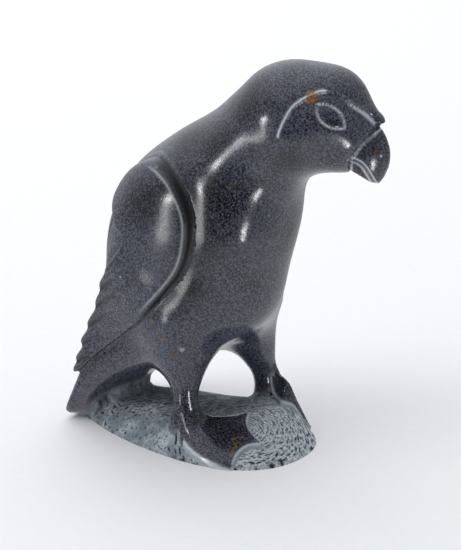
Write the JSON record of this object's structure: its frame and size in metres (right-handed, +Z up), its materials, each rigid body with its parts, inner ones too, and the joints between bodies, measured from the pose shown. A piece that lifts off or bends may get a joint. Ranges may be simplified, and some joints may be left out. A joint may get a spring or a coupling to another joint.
{
  "type": "stone bird carving",
  "caption": "Polished dark soapstone bird with folded wings and a hooked beak, standing on a chiselled ground carved from the same stone.",
  "frame": {"origin": "centre of the flat underside of the ground, on the surface it stands on", "axes": "+Z up, +X forward to where the bird's body faces, +Y to the bird's left"},
  "size_m": [0.1298, 0.0688, 0.156],
  "materials": {
    "stone": "polished, with a chisel-textured ground"
  },
  "bodies": {
    "root": {"bird_carving": "stone"}
  },
  "joints": []
}
